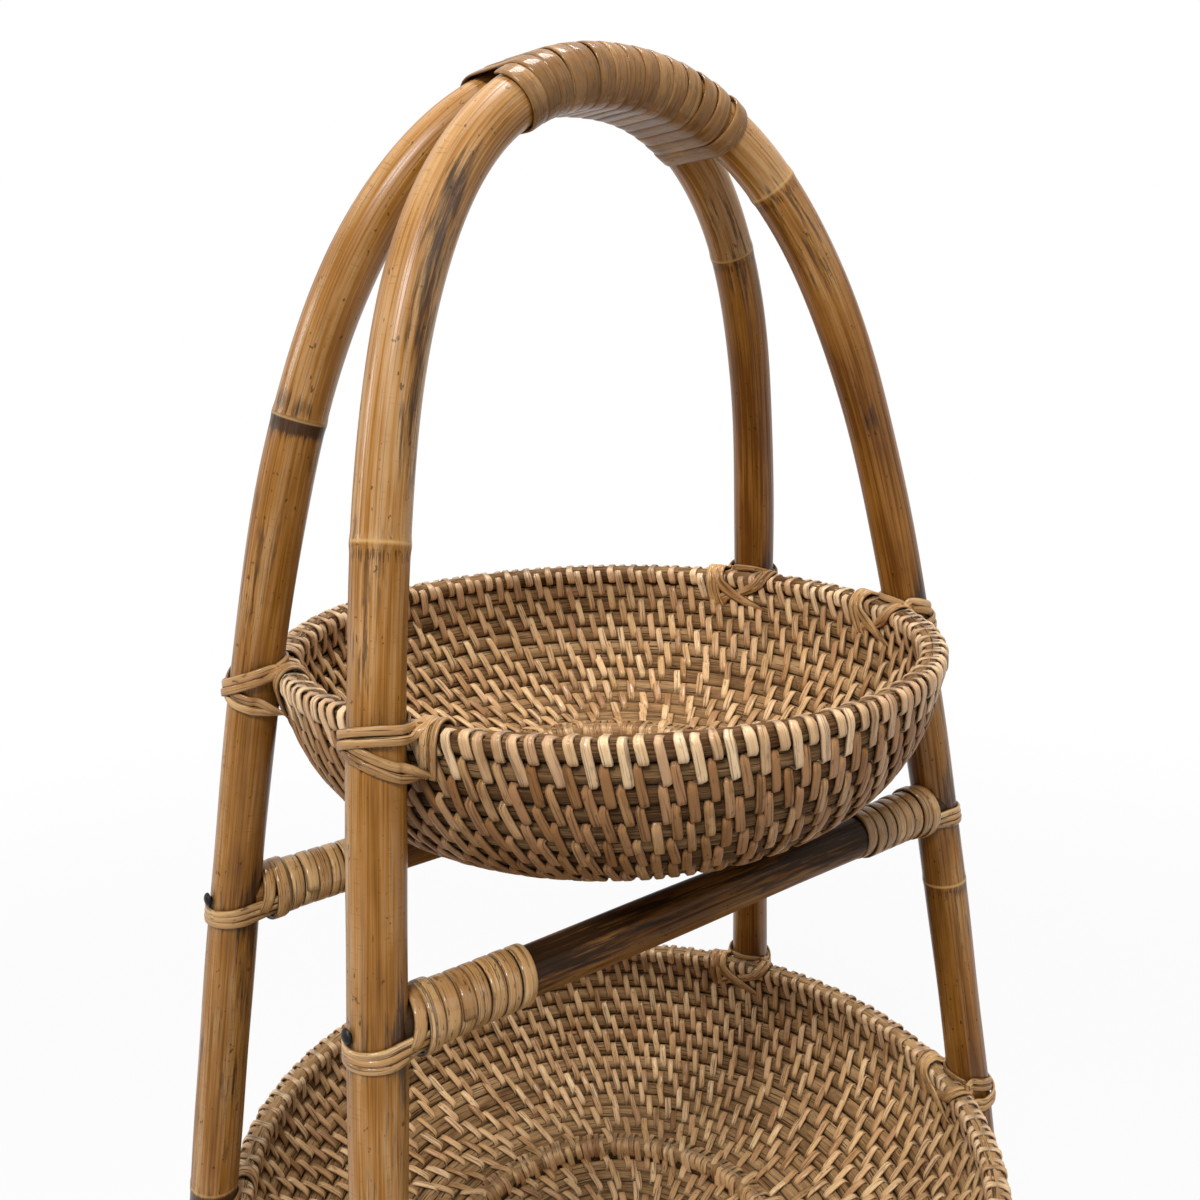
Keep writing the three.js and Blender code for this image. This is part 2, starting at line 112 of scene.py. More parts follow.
class Skin:  # gathers swept strips and rods into one mesh
    def __init__(self):
        self.points, self.faces, self.grain, self.tone, self.stain = [], [], [], [], []
        self.count, self.extra = 0, {}

    # rings come as strands, steps, section points, each ring turning right-handed about its travel
    def sweep(self, rings, grain, tone=0.5, stain=0.0, closed=False):
        strands, steps, sides = rings.shape[:3]
        index = self.count + np.arange(strands * steps * sides).reshape(strands, steps, sides)
        here = index if closed else index[:, :-1]
        ahead = np.roll(index, -1, axis=1) if closed else index[:, 1:]
        quads = np.stack([here, np.roll(here, -1, 2), np.roll(ahead, -1, 2), ahead], -1)
        self.faces.append(quads.reshape(-1, 4))
        if not closed:
            self.faces += [index[:, 0, ::-1], index[:, -1]]
        self.points.append(rings.reshape(-1, 3))
        self.grain.append(np.broadcast_to(grain, rings.shape).reshape(-1, 3))
        self.tone.append(np.broadcast_to(tone, rings.shape[:3]).reshape(-1))
        self.stain.append(np.broadcast_to(stain, rings.shape[:3]).reshape(-1))
        self.count += strands * steps * sides

    # flat strips laid on a surface, given the outward normal at each point
    def strips(self, points, normals, width, thickness, tone=0.5, stain=0.0, closed=False,
               tilt=0.0, edge=1.0):
        if points.ndim == 2:
            points, normals = points[None], normals[None]
        width = np.broadcast_to(width, points.shape[:2])[..., None, None]
        travel = travelOf(points, closed)
        across = unit(np.cross(travel, normals))
        lift = np.cross(across, travel)
        across, lift = across + lift * tilt, lift - across * tilt
        over, up = stripSection[:, 0, None], stripSection[:, 1, None]
        rings = points[:, :, None] + across[:, :, None] * over * width + lift[:, :, None] * up * thickness
        grain = np.zeros(rings.shape)
        grain[..., 0] = (over * width)[..., 0]
        grain[..., 2] = lengthAlong(points)[..., None]
        grain += chance.uniform(*grainRange, (len(points), 1, 1, 3))
        # the darkened edges are painted shade where the strip meets what it lies on
        self.sweep(rings, grain, tone, stain + edge * edgeStain, closed)

    # one round rod, with a radius for each step
    def rod(self, points, radius, sides, tone, stain):
        travel = travelOf(points, False)
        v = unit(backward - travel * np.sum(backward * travel, -1, keepdims=True))
        u = np.cross(v, travel)
        turn = evenTurns(sides)[:, None]
        radius = radius[:, None, None]
        rings = points[:, None] + (u[:, None] * np.cos(turn) + v[:, None] * np.sin(turn)) * radius
        grain = np.concatenate(np.broadcast_arrays(
            np.cos(turn) * radius, np.sin(turn) * radius, lengthAlong(points)[:, None, None]), -1)
        self.sweep(rings[None], grain[None], tone, stain)

    def finish(self, name, finish, slot, *nodes):
        mesh = bpy.data.meshes.new(name)
        points = np.concatenate(self.points).astype(np.float32)
        corners = np.concatenate([faces.ravel() for faces in self.faces]).astype(np.int32)
        sizes = np.concatenate([np.full(len(faces), faces.shape[1]) for faces in self.faces])
        starts = np.concatenate([[0], np.cumsum(sizes)[:-1]]).astype(np.int32)
        mesh.vertices.add(len(points))
        mesh.vertices.foreach_set("co", points.ravel())
        mesh.loops.add(len(corners))
        mesh.loops.foreach_set("vertex_index", corners)
        mesh.polygons.add(len(sizes))
        mesh.polygons.foreach_set("loop_start", starts)
        mesh.polygons.foreach_set("use_smooth", np.ones(len(sizes), bool))
        mesh.update(calc_edges=True)
        grain = mesh.attributes.new("grain", "FLOAT_VECTOR", "POINT")
        grain.data.foreach_set("vector", np.concatenate(self.grain).astype(np.float32).ravel())
        # this attribute carries real stains and also painted shade from edges, creases, undersides and stitch
        # ends
        carried = {"tone": np.concatenate(self.tone), "stain": np.concatenate(self.stain), **self.extra}
        for key, values in carried.items():
            attribute = mesh.attributes.new(key, "FLOAT", "POINT")
            attribute.data.foreach_set("value", values.astype(np.float32))
        piece = placed(name, mesh)
        mesh.materials.append(finish)
        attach(piece, "root")
        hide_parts(*nodes)


# Finishes

class Socket:  # a node's socket, with arithmetic that adds Math nodes
    def __init__(self, tree, socket=None):
        self.tree, self.socket = tree, socket

    def node(self, kind, settings=None, values=None, out=0):
        made = self.tree.nodes.new(f"ShaderNode{kind}")
        for key, value in (settings or {}).items():
            if key == "stops":
                ramp = made.color_ramp.elements
                while len(ramp) < len(value):
                    ramp.new(0.5)
                for stop, (place, color) in zip(ramp, value):
                    stop.position, stop.color = place, (*color, 1)
            else:
                setattr(made, key, value)
        for key, value in (values or {}).items():
            if isinstance(value, Socket):
                self.tree.links.new(value.socket, made.inputs[key])
            else:
                made.inputs[key].default_value = value
        return Socket(self.tree, made.outputs[out])

    def maths(self, operation, *values):
        return self.node("Math", {"operation": operation}, dict(enumerate(values)))

    def __add__(self, other):
        return self.maths("ADD", self, other)

    def __sub__(self, other):
        return self.maths("SUBTRACT", self, other)

    def __rsub__(self, other):
        return self.maths("SUBTRACT", other, self)

    def __mul__(self, other):
        return self.maths("MULTIPLY", self, other)

    def above(self, low, high):  # 0 under low, 1 over high
        return self.node("MapRange", {"interpolation_type": "SMOOTHSTEP"},
                         {"Value": self, "From Min": low, "From Max": high})

    __radd__, __rmul__ = __add__, __mul__


class Finish:  # a new material, its shader, and the values and noises that its look is made of
    mixFirst, mixSecond, mixOut = 6, 7, 2  # a Mix node's sockets for colours

    def __init__(self, name, **constants):
        self.material = bpy.data.materials.new(name)
        self.material.use_nodes = True
        self.tree = self.material.node_tree
        self.shader = self.tree.nodes["Principled BSDF"]
        self.start = Socket(self.tree)
        self.values = {}
        for key, value in constants.items():
            self.shader.inputs[key.replace("_", " ")].default_value = value

    def attribute(self, name, out="Fac"):
        return self.start.node("Attribute", {"attribute_name": name}, out=out)

    def carry(self, names, noises):
        self.values.update({name: self.attribute(name) for name in names})
        grain = self.attribute("grain", "Vector")
        for name, (stretch, scale, detail, roughness) in noises.items():
            place = self.start.node("VectorMath", {"operation": "MULTIPLY"}, {0: grain, 1: stretch}, "Vector")
            self.values[name] = self.start.node("TexNoise", {}, {
                "Vector": place, "Scale": scale, "Detail": detail, "Roughness": roughness})

    def total(self, weights):  # a weighted sum of values
        return reduce(operator.add, [self.values[name] * weight for name, weight in weights.items()])

    def mask(self, bounds):  # 1 where every value is past its bounds
        return reduce(operator.mul, [self.values[name].above(*pair) for name, pair in bounds.items()])

    def ramp(self, value, places, colors):
        return self.start.node("ValToRGB", {"stops": list(zip(places, colors))}, {"Fac": value})

    def mixed(self, share, first, second):
        return self.start.node("Mix", {"data_type": "RGBA"}, {
            "Factor": share, self.mixFirst: first, self.mixSecond: second}, self.mixOut)

    def marked(self, color, marks, settings):  # marks are a shade of the first, darkest colour
        for name, (bounds, shade) in marks.items():
            self.values[name] = self.mask(bounds)
            dark = rgb(*[part * shade for part in settings["colors"][0]])
            color = self.mixed(self.values[name] * settings[name], color, dark)
        return color

    def feed(self, **sockets):
        for key, value in sockets.items():
            self.tree.links.new(value.socket, self.shader.inputs[key.replace("_", " ")])

    def bump(self, height, strength, distance):
        self.feed(Normal=self.start.node("Bump", {}, {
            "Strength": strength, "Distance": distance, "Height": height}))


def rgb(red, green, blue):
    return (red, green, blue, 1)


def startFinish(name, look, settings, names, noises):
    finish = Finish(name, Coat_Roughness=look["coatRoughness"], Specular_IOR_Level=settings["shine"])
    finish.carry(names, noises)
    shade = finish.total(look["base"]) - look["baseLess"]
    return finish, finish.ramp(shade, look["places"], settings["colors"])


def endFinish(finish, color, coat, look, settings):
    finish.feed(Base_Color=color, Roughness=settings["rough"] + finish.total(look["rough"]),
                Coat_Weight=coat * settings["coat"])
    finish.bump(finish.total(look["bump"]), settings["bump"], look["bumpDistance"])
    return finish.material


caneLook = {
    "noises": {  # stretch of the grain, scale, detail, roughness
        "streak": ((1, 1, 0.012), 950, 4, 0.55), "band": ((1, 1, 0.05), 130, 3, 0.55),
        "blotch": ((1, 1, 0.35), 30, 4, 0.6), "dash": ((1, 1, 0.07), 520, 4, 0.65),
        "crack": ((0.10, 0.10, 1), 1300, 2, 0.55), "speck": ((1, 1, 0.6), 420, 2, 0.55),
        "comb": ((1, 1, 0.05), 1900, 1, 0.55),
    },
    "base": {"streak": 0.55, "band": 0.50, "blotch": 0.60, "tone": 0.35}, "baseLess": 0.50,
    "places": (0.30, 0.50, 0.70),
    "marks": {  # bounds, shade
        "lines": ({"streak": (0.54, 0.66), "band": (0.40, 0.58)}, 0.6),
        "cracks": ({"crack": (0.60, 0.72), "band": (0.45, 0.62)}, 0.55),
        "specks": ({"speck": (0.67, 0.73)}, 0.3),
    },
    "smudges": {"blotch": (0.52, 0.64), "dash": (0.49, 0.62)},
    "smoke": {"stain": 1.1, "dash": 1.5, "blotch": 0.6}, "smokeLess": 1.22, "smokeBounds": (0.18, 0.58),
    "smokeShare": 0.88,
    "combed": {"comb": 1, "ring": -0.3}, "combing": {"combing": ({"combed": (0.78, 0.84)}, 0.5)},
    "ringBounds": (0.15, 0.8), "ringLeast": 0.5, "ringDash": 0.6,
    "rough": {"dash": 0.16, "lines": 0.12},
    "coat": {"streak": (0.40, 0.58)}, "coatStreaks": 0.85, "coatLeast": 0.15, "coatRoughness": 0.24,
    "bump": {"streak": 0.5, "dash": 0.5, "lines": -0.4, "crack": -0.2}, "bumpDistance": 0.0006,
    "shared": {"lines": 0.55, "cracks": 0.3, "specks": 0.7, "combing": 0.75, "bump": 0.3},
}


def caneFinish(name, settings):
    look, settings = caneLook, {**caneLook["shared"], **settings}
    finish, color = startFinish(name, look, settings, ("stain", "tone", "ring"), look["noises"])
    color, value = finish.marked(color, look["marks"], settings), finish.values
    smoke = (finish.total(look["smoke"]) - look["smokeLess"]).above(*look["smokeBounds"])
    smoke = smoke.maths("MAXIMUM", smoke, finish.mask(look["smudges"]) * settings["smudge"])
    color = finish.mixed(smoke * look["smokeShare"], color, rgb(*settings["scorch"]))
    value["combed"] = finish.total(look["combed"])
    color = finish.marked(color, look["combing"], settings)
    pale = value["ring"].above(*look["ringBounds"]) * (look["ringLeast"] + value["dash"] * look["ringDash"])
    color = finish.mixed(pale, color, rgb(*settings["ring"]))
    coat = finish.mask(look["coat"]) * look["coatStreaks"] + look["coatLeast"]
    return endFinish(finish, color, coat, look, settings)


stripLook = {
    "noises": {"patch": ((1, 1, 0.3), 160, 3, 0.55), "speck": ((1, 1, 0.30), 800, 3, 0.55)},
    # The scales of these are times the finish's own fibreScale.
    "fibres": {"fibre": ((1, 1, 0.02), 1, 3, 0.55), "thread": ((1, 1, 0.03), 2.3, 2, 0.55)},
    "base": {"tone": 0.40, "fibre": 0.70, "patch": 0.60}, "baseLess": 0.35, "places": (0.24, 0.50, 0.78),
    "hues": 13.7, "strand": {"fibre": 0.6, "thread": 0.4},
    "marks": {"lines": ({"strand": (0.52, 0.61)}, 0.4), "specks": ({"speck": (0.60, 0.70)}, 0.3)},
    # This darkening shows real stains and painted shade together.
    "grimeAndShade": {"stain": 1, "patch": 0.6}, "grimeAndShadeLess": 0.30, "grimeAndShadeBounds": (0.15, 0.95), "grimeAndShadeShare": 0.9,
    "rough": {"patch": 0.2, "lines": 0.12},
    "coat": {"thread": (0.42, 0.58)}, "coatThreads": 0.8, "coatLeast": 0.2, "coatRoughness": 0.09,
    "unworn": {"tone": (-0.3, 0.2)},
    "bump": {"fibre": 0.6, "thread": 0.4, "lines": -0.5}, "bumpDistance": 0.0005,
    "shared": {"fibreScale": 850, "shine": 0.12, "grimeAndShade": (0.018, 0.009, 0.004)},
}


def stripFinish(name, settings):
    look, noises, settings = stripLook, dict(stripLook["noises"]), {**stripLook["shared"], **settings}
    for key, (stretch, scale, *rest) in look["fibres"].items():
        noises[key] = (stretch, settings["fibreScale"] * scale, *rest)
    finish, color = startFinish(name, look, settings, ("stain", "tone"), noises)
    tone = finish.values["tone"]
    hue = tone.maths("FRACT", tone * look["hues"])
    color = finish.mixed(hue * settings["blushShare"], color, rgb(*settings["blush"]))
    finish.values["strand"] = finish.total(look["strand"])
    color = finish.marked(color, look["marks"], settings)
    # darker where there are real stains and where shade is painted
    grimeAndShade = (finish.total(look["grimeAndShade"]) - look["grimeAndShadeLess"]).above(*look["grimeAndShadeBounds"])
    color = finish.mixed(grimeAndShade * look["grimeAndShadeShare"], color, rgb(*settings["grimeAndShade"]))
    coat = (finish.mask(look["coat"]) * look["coatThreads"] + look["coatLeast"]) * finish.mask(look["unworn"])
    return endFinish(finish, color, coat, look, settings)


iron = {"noises": {"scale": ((1, 1, 1), 900, 3, 0.55), "spots": ((1, 1, 1), 420, 4, 0.55)},
        "rust": {"spots": (0.52, 0.72)}, "rustShare": 0.6, "rustDull": 0.6, "metallic": 0.75,
        "black": (0.012, 0.011, 0.010), "brown": (0.06, 0.028, 0.012), "rough": 0.34, "scaleRough": 0.3,
        "bump": 0.35, "bumpDistance": 0.0004}


def ironFinish(name):
    finish = Finish(name)
    finish.carry((), iron["noises"])
    scale, rust = finish.values["scale"], finish.mask(iron["rust"])
    finish.feed(Base_Color=finish.mixed(rust * iron["rustShare"], rgb(*iron["black"]), rgb(*iron["brown"])),
                Roughness=iron["rough"] + scale * iron["scaleRough"],
                Metallic=iron["metallic"] - rust * iron["rustDull"])
    finish.bump(scale, iron["bump"], iron["bumpDistance"])
    return finish.material


smokedCane = caneFinish("smokedCane", {
    "colors": ((0.115, 0.040, 0.005), (0.290, 0.122, 0.020), (0.50, 0.298, 0.132)),
    "scorch": (0.024, 0.012, 0.008), "ring": (0.56, 0.33, 0.115),
    "smudge": 0.85, "rough": 0.26, "coat": 0.40, "shine": 0.12})
burntCane = caneFinish("burntCane", {
    "colors": ((0.036, 0.012, 0.003), (0.165, 0.068, 0.015), (0.30, 0.150, 0.044)),
    "scorch": (0.010, 0.006, 0.004), "ring": (0.30, 0.16, 0.05),
    "smudge": 0.7, "rough": 0.30, "coat": 0.12, "shine": 0.05})
# The handle's peel is a darker copy of the peel: its extra darkness is painted shade on the handle's front,
# which faces away from the light.
shadedHandlePeel = stripFinish("shadedHandlePeel", {
    "colors": ((0.115, 0.050, 0.013), (0.250, 0.125, 0.040), (0.43, 0.245, 0.098)),
    "blush": (0.22, 0.098, 0.030), "grimeAndShade": (0.020, 0.010, 0.004),
    "fibreScale": 900, "lines": 0.60, "specks": 0.35, "blushShare": 0.4,
    "shine": 0.09, "rough": 0.26, "coat": 0.38, "bump": 0.8})
splitPeel = stripFinish("splitPeel", {
    "colors": ((0.19, 0.085, 0.024), (0.45, 0.255, 0.100), (0.68, 0.455, 0.215)),
    "blush": (0.38, 0.185, 0.062), "lines": 0.80, "specks": 0.75, "blushShare": 0.45,
    "rough": 0.24, "coat": 0.65, "bump": 0.6})
tieStrand = stripFinish("tieStrand", {
    "colors": ((0.17, 0.073, 0.021), (0.43, 0.238, 0.092), (0.69, 0.455, 0.22)),
    "blush": (0.36, 0.172, 0.062), "lines": 0.90, "specks": 0.70, "blushShare": 0.4,
    "rough": 0.32, "coat": 0.35, "bump": 0.6})
rimStrand = stripFinish("rimStrand", {
    "colors": ((0.29, 0.150, 0.062), (0.62, 0.400, 0.205), (0.81, 0.600, 0.365)),
    "blush": (0.55, 0.320, 0.180), "grimeAndShade": (0.026, 0.012, 0.005),
    "lines": 0.70, "specks": 0.35, "blushShare": 0.5, "shine": 0.2, "rough": 0.34, "coat": 0.3, "bump": 0.5})
stitchStrand = stripFinish("stitchStrand", {
    "colors": ((0.215, 0.095, 0.028), (0.54, 0.330, 0.145), (0.76, 0.53, 0.290)),
    "blush": (0.48, 0.260, 0.130), "grimeAndShade": (0.022, 0.010, 0.004),
    "lines": 0.75, "specks": 0.6, "blushShare": 0.5, "rough": 0.34, "coat": 0.35, "bump": 0.5})
coilCore = stripFinish("coilCore", {
    "colors": ((0.050, 0.019, 0.005), (0.280, 0.158, 0.066), (0.51, 0.330, 0.160)),
    "blush": (0.22, 0.108, 0.042), "grimeAndShade": (0.014, 0.007, 0.003),
    "fibreScale": 800, "lines": 0.90, "specks": 0.1, "blushShare": 0.3,
    "shine": 0.1, "rough": 0.55, "coat": 0.0, "bump": 1.0})
blackIron = ironFinish("blackIron")
print("finishes made")


# Canes: two bent poles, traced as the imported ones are

cane = {
    "radius": 0.011, "sides": 28, "step": 0.0015, "gap": 0.00015,
    "bendLength": 0.106, "bendShape": 1.25, "splay": math.radians(6.5),
    "spreadWidth": 0.038, "spreadLength": 0.25, "lean": 0.08,
    "waver": 0.00022, "waves": [(23, 1.0), (61, 0.6)],  # radians in a metre, share
    "knuckles": {"front": (-0.95, -0.60, -0.2445, 0.096, 0.465, 0.80),
                 "rear": (-0.90, -0.572, -0.203, 0.128, 0.478, 0.828)},
    "knuckleStain": {"front": (0.4, 0.4, 0.10, 0.30, 0.4, 0.4), "rear": (0.6, 0.6, 0.95, 0.30, 0.5, 0.5)},
    "internodes": {"front": (0.45, 0.45, 0.50, 0.72, 0.30, 0.25, 0.3),
                   "rear": (0.35, 0.42, 0.45, 0.62, 0.22, 0.25, 0.3)},
    "knuckleRise": 0.00035, "knuckleWidth": 0.0022, "ringWidth": 0.0010,
    "combDrop": 0.0045, "combWidth": 0.0032,
    "scar": 0.5, "scarDrop": 0.003, "scarWidth": 0.002, "fade": 0.75, "fadeLength": 0.010,
    "barStain": 0.45, "barReach": 0.022, "rimStain": 0.34, "rimReach": 0.014,
    "scuffs": {  # run, half turns round, reach along, quarter turns of reach round, depth
        "front": [(-0.115, 1.45, 0.045, 0.45, 0.62), (-0.190, 1.55, 0.050, 0.40, 0.55),
                  (0.215, 1.75, 0.010, 0.40, 0.65), (0.330, 1.40, 0.120, 0.45, 0.42),
                  (-0.480, 1.62, 0.120, 0.30, 0.36)],
        "rear": [(-0.198, 1.30, 0.008, 0.70, 0.55), (-0.150, 0.95, 0.060, 0.30, 0.40),
                 (-0.480, 1.60, 0.100, 0.40, 0.42), (0.300, 1.50, 0.150, 0.50, 0.35)],
    },
}
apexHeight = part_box("front_arch_cane")[1].z - cane["radius"]
traceStep, traceLength = 0.001, 1.2
traceRun = np.arange(0, traceLength, traceStep)
traceSlope = (math.pi / 2 - cane["splay"]) * (
    1 - np.exp(-(((traceRun[1:] - traceStep / 2) / cane["bendLength"]) ** cane["bendShape"])))
traceX, traceDrop = (np.append(0, np.cumsum(way(traceSlope))) * traceStep for way in (np.cos, np.sin))


def canePoint(run, side):  # negative runs are on the left leg
    run = np.asarray(run, float)
    drop = np.interp(np.abs(run), traceRun, traceDrop)
    spread = cane["spreadWidth"] * (1 - np.exp(-drop / cane["spreadLength"])) + cane["lean"] * drop
    x = np.sign(run) * np.interp(np.abs(run), traceRun, traceX)
    return np.stack([x, side * (cane["radius"] + cane["gap"] + spread), apexHeight - drop], -1)


def caneTravel(run, side):
    return canePoint(run + traceStep, side) - canePoint(run - traceStep, side)


def runAtHeight(height):
    return float(np.interp(apexHeight - height, traceDrop, traceRun))


def legAt(height, side, way):  # the leg's centre, and its drift for each metre of height
    run = way * runAtHeight(height)
    travel = caneTravel(run, side)
    return canePoint(run, side), travel / travel[2]


rimHeights = {tier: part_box(f"{tier}_bowl_rim")[1].z for tier in tiers}
barBoxes = {(tier, arch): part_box(f"{tier}_{arch}_crossbar") for tier in tiers for arch in arches}


def makeCane(arch, side):
    footRun = runAtHeight(0)
    runs = np.linspace(-footRun, footRun, int(2 * footRun / cane["step"]))
    points = canePoint(runs, side)
    phases = chance.uniform(*phaseRange, 3)[:2]
    waves = sum(share * np.sin(runs * rate + phase) for (rate, share), phase in zip(cane["waves"], phases))
    radius = cane["radius"] + cane["waver"] * waves
    turn = evenTurns(cane["sides"])
    stain, ring = np.zeros((len(runs), cane["sides"])), np.zeros(len(runs))
    knuckles = np.array(cane["knuckles"][arch])
    tone = np.array(cane["internodes"][arch])[np.searchsorted(knuckles, runs)]
    for knuckle, depth in zip(knuckles, cane["knuckleStain"][arch]):
        below = np.abs(runs) - abs(knuckle)
        beside = runs * knuckle > 0
        under = beside & (below > 0)
        radius += beside * cane["knuckleRise"] * bell(below, cane["knuckleWidth"])
        ring += beside * (bell(below, cane["ringWidth"]) - bell(below - cane["combDrop"], cane["combWidth"]))
        mark = cane["scar"] * bell(below - cane["scarDrop"], cane["scarWidth"])
        stain += (under * depth * (mark + cane["fade"] * np.exp(-below / cane["fadeLength"])))[:, None]
    for tier in tiers:
        low, high = barBoxes[tier, arch]
        for place in ("bar", "rim"):  # the cane is darker near where things are tied on
            run = runAtHeight((low.z + high.z) / 2 if place == "bar" else rimHeights[tier])
            stain += (cane[f"{place}Stain"] * bell(np.abs(runs) - run, cane[f"{place}Reach"]))[:, None]
    for run, at, reach, wide, depth in cane["scuffs"][arch]:
        off = (turn - at * math.pi + math.pi) % fullTurn - math.pi
        stain += depth * bell(runs - run, reach)[:, None] * bell(off, wide * math.pi / 2)
    skin = Skin()
    skin.rod(points, radius, cane["sides"], tone[:, None], stain)
    skin.extra["ring"] = np.repeat(ring, cane["sides"])
    rings = skin.points[0].reshape(len(runs), cane["sides"], 3)
    travel = travelOf(points, False)
    for foot in (0, -1):  # the feet are sawn level
        rings[foot] -= travel[foot] * (rings[foot][:, 2:] / travel[foot][2])
    rings[..., 2] = rings[..., 2].clip(0)
    skin.finish(f"{arch}_cane", smokedCane, "cane", f"{arch}_arch_cane")


for arch, side in arches.items():
    makeCane(arch, side)
print("canes made")


# Crossbars and their nails

bar = {"radius": 0.0105, "sides": 24, "step": 0.004, "waver": 0.00018, "waves": 40, "tone": 0.5,
       "burntReach": 0.13, "burntTurn": math.radians(-40), "burntMiddle": 0.30, "burntEnds": 0.60,
       "burntFace": 1.3, "paleFace": 0.25}


def makeBar(tier, arch):
    low, high = barBoxes[tier, arch]
    x = np.arange(low.x, high.x + bar["step"], bar["step"])
    points = np.stack([x, np.full(len(x), (low.y + high.y) / 2), np.full(len(x), (low.z + high.z) / 2)], -1)
    fromEnd = np.minimum(x - x[0], x[-1] - x)
    face = 0.5 + 0.5 * np.cos(evenTurns(bar["sides"]) - math.pi - arches[arch] * bar["burntTurn"])
    burnt = bar["burntMiddle"] + bar["burntEnds"] * bell(fromEnd, bar["burntReach"])
    stain = burnt[:, None] * (bar["burntFace"] * face - bar["paleFace"])
    radius = bar["radius"] + bar["waver"] * np.sin(x * bar["waves"] + chance.uniform(*phaseRange))
    skin = Skin()
    skin.rod(points, radius, bar["sides"], bar["tone"], stain)
    skin.finish(f"{tier}_{arch}_bar", burntCane, "dark_cane", f"{tier}_{arch}_crossbar")


nailHead = {"rise": 0.004, "radius": 0.0031, "height": 0.0021, "sides": 18, "rings": 7, "flange": 0.0004,
            "shank": 0.35, "shankLength": 0.012, "tip": 0.02, "grains": (0, 5)}


def makeNail(tier, arch, end):
    low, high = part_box(f"{tier}_{arch}_{end}_nail")
    way, radius, height, flange = ends[end], *(nailHead[key] for key in ("radius", "height", "flange"))
    seat = (high.x if way > 0 else low.x) - way * height
    centre = np.array([seat, (low.y + high.y) / 2, (low.z + high.z) / 2 + nailHead["rise"]])
    turn = np.linspace(0, math.pi / 2, nailHead["rings"])
    reach = np.concatenate([[nailHead["shank"] * radius] * 2, [radius], radius * np.cos(turn)])
    rise = np.concatenate([[-nailHead["shankLength"], 0.0], [0.0], flange + (height - flange) * np.sin(turn)])
    reach[-1] = nailHead["tip"] * radius
    axis = np.array([way, 0.0, 0.0])
    points = centre + rise[:, None] * axis
    around = evenTurns(nailHead["sides"])[:, None]
    spokes = backward * np.cos(around) + np.cross(axis, backward) * np.sin(around)
    rings = points[:, None] + reach[:, None, None] * spokes
    skin = Skin()
    skin.sweep(rings[None], rings[None] - centre + chance.uniform(*nailHead["grains"]))
    skin.finish(f"{tier}_{arch}_{end}_nail_head", blackIron, "nail", f"{tier}_{arch}_{end}_nail")


for tier in tiers:
    for arch in arches:
        makeBar(tier, arch)
        for end in ends:
            makeNail(tier, arch, end)
print("bars and nails made")


# Handle binding: one strip round both canes

# The binding's darkened strip edges are painted shade.
binding = {"start": -0.0562, "turns": 14.8, "pitch": 0.0080, "width": 0.0084, "thickness": 0.0009,
           "tilt": 0.035, "edge": 0.3, "lift": 0.0011, "steps": 48, "topWaver": 0.0008, "lowWaver": 0.0002,
           "lastGap": 0.0012, "lastTurns": 1.5, "tones": (0.3, 0.8)}


def makeBinding():
    radius = cane["radius"] + binding["lift"]
    half, across = math.pi * radius, 2 * (cane["radius"] + cane["gap"])
    turns = np.arange(0, binding["turns"], 1 / binding["steps"])
    knots = np.arange(0, math.ceil(binding["turns"]) + 1, 0.5)
    waver = np.where(knots % 1 == 0, binding["topWaver"], binding["lowWaver"])
    wander = chance.normal(0, 1, len(knots)) * waver
    last = np.clip(turns - binding["turns"] + binding["lastTurns"], 0, 1)
    run = binding["start"] + binding["pitch"] * turns + np.interp(turns, knots, wander)
    run = run + binding["lastGap"] * last
    place = (turns % 1) * 2 * (half + across)
    front = np.clip(1 - (place - half) / across, 0, 1) + np.clip((place - 2 * half - across) / across, 0, 1)
    angle = np.clip(place / radius, 0, math.pi) + np.clip((place - half - across) / radius, 0, math.pi)
    centre = front[:, None] * canePoint(run, -1) + (1 - front)[:, None] * canePoint(run, 1)
    outward = np.cross(unit(caneTravel(run, 1) + caneTravel(run, -1)), backward)
    normal = unit(outward * np.cos(angle)[:, None] - backward * np.sin(angle)[:, None])
    tone = np.interp(turns, knots, chance.uniform(*binding["tones"], len(knots)))
    skin = Skin()
    skin.strips(centre + normal * radius, normal, binding["width"], binding["thickness"], tone[None, :, None],
                tilt=binding["tilt"], edge=binding["edge"])
    skin.finish("handle_binding", shadedHandlePeel, "peel", "handle_wrap")


makeBinding()
print("handle binding made")


# Bar wraps: a strand that climbs from the leg on to the bar, its turns, and straps round the leg

# The wrap's darkened strip edges are painted shade.
wrap = {"turns": 7.5, "pitch": 0.0070, "width": 0.0067, "thickness": 0.0013, "lift": 0.0003, "steps": 30,
        "edge": 1.2, "tones": (0.2, 0.95), "underShade": 0.25, "wander": 0.0003, "legWavers": 3,
        "climb": 0.27, "climbReach": 0.0036, "climbLength": 0.10, "climbWidth": 0.0054, "widening": 0.6,
        "start": 0.0126, "firstOffset": 0.0018, "firstLength": 0.4, "topTurn": math.radians(75),
        "bulge": 0.0018, "bulgeTurn": 0.65, "bulgeLength": 0.8, "tuckTurns": 0.4, "tuckDepth": 0.004,
        "cutEnd": (2.78, 3.5), "cutLift": 0.0012, "cutWidth": 0.9,
        "straps": 3, "strapWidth": 0.0031, "strapDrop": 0.0004, "strapPitch": 0.0032, "strapDraw": 0.75,
        "strapSag": 0.001, "strapArc": (-14, 194), "strapStops": 15, "strapLift": 0.0001, "strapSteps": 80,
        "strapEnds": (0.0172, 0.0125), "strapTones": (0.2, 0.9), "strapStain": 0.05}


